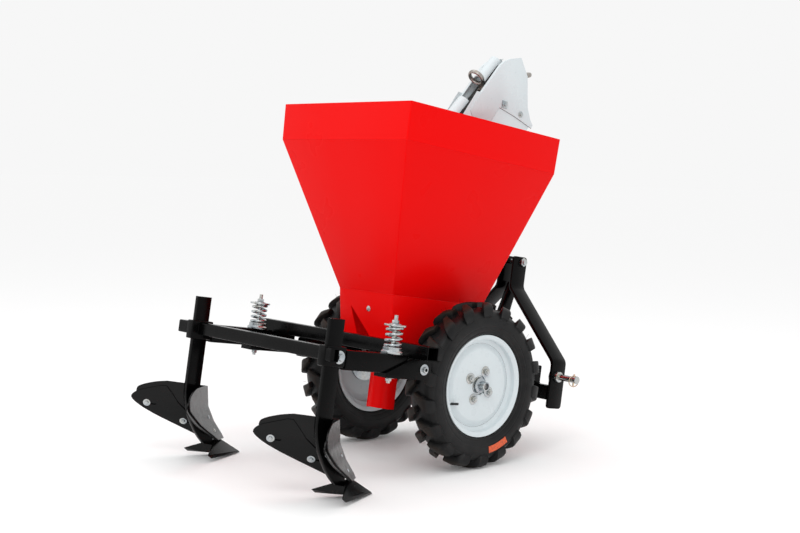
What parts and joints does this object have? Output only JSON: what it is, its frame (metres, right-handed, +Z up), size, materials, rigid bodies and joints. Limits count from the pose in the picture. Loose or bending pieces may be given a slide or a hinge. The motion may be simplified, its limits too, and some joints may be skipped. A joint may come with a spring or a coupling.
{
  "type": "single-row potato planter",
  "caption": "Tractor-mounted potato planter with a sheet hopper, cup elevator, driven wheels and a sprung rear frame with two ridging bodies.",
  "frame": {"origin": "bottom centre of the bounding box, on the ground that the tyres and shares rest on", "axes": "+X direction of travel, towards the three-point hitch; +Y left; +Z up. The machine rests on its wheels and shares, so its own upright leans 8.25 degrees forward about the axle"},
  "size_m": [1.3339, 1.027, 1.3704],
  "materials": {
    "red_paint": "gloss",
    "black_paint": "gloss",
    "white_paint": "gloss",
    "board_steel": "satin",
    "wing_steel": "satin",
    "zinc": "satin",
    "steel": "satin",
    "alloy": "satin",
    "tyre": "matte",
    "belt": "matte"
  },
  "bodies": {
    "chassis": {"hopper_collar": "red_paint", "hopper_funnel": "red_paint", "hopper_boot": "red_paint", "seed_tube": "red_paint", "rear_crossbeam": "black_paint", "front_crossbar": "black_paint", "mast_crossbar": "black_paint", "mast_stay": "black_paint", "frame_rail_left": "black_paint", "axle_bearing_left": "black_paint", "hitch_leg_left": "black_paint", "pivot_bracket_left": "black_paint", "lower_link_pin_left": "zinc", "pin_clip_left": "zinc", "pivot_bolt_left": "zinc", "spring_rod_left": "zinc", "float_spring_left": "zinc", "elevator_side_left": "white_paint", "head_plate_left": "white_paint", "frame_rail_right": "black_paint", "axle_bearing_right": "black_paint", "hitch_leg_right": "black_paint", "pivot_bracket_right": "black_paint", "lower_link_pin_right": "zinc", "pin_clip_right": "zinc", "pivot_bolt_right": "zinc", "spring_rod_right": "zinc", "float_spring_right": "zinc", "elevator_side_right": "white_paint", "head_plate_right": "white_paint", "top_link_bolt": "zinc", "pin_head": "steel", "pin_idle": "steel", "drive_chain": "steel", "cup_belt": "belt"},
    "wheel_set": {"axle": "steel", "wheel_hub_left": "zinc", "wheel_rim_left": "white_paint", "tyre_left": "tyre", "wheel_hub_right": "zinc", "wheel_rim_right": "white_paint", "tyre_right": "tyre"},
    "float_frame": {"rear_toolbar": "black_paint", "float_arm_left": "black_paint", "shank_socket_left": "black_paint", "float_arm_right": "black_paint", "shank_socket_right": "black_paint"},
    "low_pulley": {"belt_pulley_low": "alloy"},
    "idle_roller": {"belt_roller_idle": "alloy"},
    "head_pulley": {"belt_pulley_head": "alloy"},
    "ridger_left": {"ridger_shank_left": "black_paint", "mouldboard_left": "board_steel", "share_left": "black_paint"},
    "wing_left_inner": {"wing_left_inner": "wing_steel"},
    "wing_left_outer": {"wing_left_outer": "wing_steel"},
    "ridger_right": {"ridger_shank_right": "black_paint", "mouldboard_right": "board_steel", "share_right": "black_paint"},
    "wing_right_inner": {"wing_right_inner": "wing_steel"},
    "wing_right_outer": {"wing_right_outer": "wing_steel"}
  },
  "joints": [
    {"name": "wheels_roll", "type": "hinge", "parent": "chassis", "child": "wheel_set", "pos_m": [0.1542, 0, 0.272], "axis": [0, 1, 0], "continuous": true},
    {"name": "low_pulley_turn", "type": "hinge", "parent": "chassis", "child": "low_pulley", "pos_m": [0.04535, 0, 0.42723], "axis": [0, 1, 0], "continuous": true},
    {"name": "idle_roller_turn", "type": "hinge", "parent": "chassis", "child": "idle_roller", "pos_m": [0.26614, 0, 1.051], "axis": [0, 1, 0], "continuous": true},
    {"name": "head_pulley_turn", "type": "hinge", "parent": "chassis", "child": "head_pulley", "pos_m": [0.54074, 0, 1.30018], "axis": [0, 1, 0], "continuous": true},
    {"name": "float_swing", "type": "hinge", "parent": "chassis", "child": "float_frame", "pos_m": [-0.17102, 0, 0.36361], "axis": [0, 1, 0], "range_deg": [0, 9], "stiffness_Nm_per_rad": 500, "springref_deg": -11.46, "deforming": ["float_spring_left", "float_spring_right"]},
    {"name": "shank_depth_left", "type": "slide", "parent": "float_frame", "child": "ridger_left", "axis": [0.1435, 0, 0.9897], "range_m": [0, 0.05]},
    {"name": "wing_left_outer_slide", "type": "slide", "parent": "ridger_left", "child": "wing_left_outer", "axis": [-0.7355, 0.6691, 0.1066], "range_m": [0, 0.025]},
    {"name": "wing_left_inner_slide", "type": "slide", "parent": "ridger_left", "child": "wing_left_inner", "axis": [-0.7355, -0.6691, 0.1066], "range_m": [0, 0.025]},
    {"name": "shank_depth_right", "type": "slide", "parent": "float_frame", "child": "ridger_right", "axis": [0.1435, 0, 0.9897], "range_m": [0, 0.05]},
    {"name": "wing_right_outer_slide", "type": "slide", "parent": "ridger_right", "child": "wing_right_outer", "axis": [-0.7355, -0.6691, 0.1066], "range_m": [0, 0.025]},
    {"name": "wing_right_inner_slide", "type": "slide", "parent": "ridger_right", "child": "wing_right_inner", "axis": [-0.7355, 0.6691, 0.1066], "range_m": [0, 0.025]}
  ],
  "couplings": [
    {"joint": "low_pulley_turn", "follows": "wheels_roll", "ratio": 1},
    {"joint": "idle_roller_turn", "follows": "wheels_roll", "ratio": 1.5},
    {"joint": "head_pulley_turn", "follows": "wheels_roll", "ratio": 1.125}
  ]
}
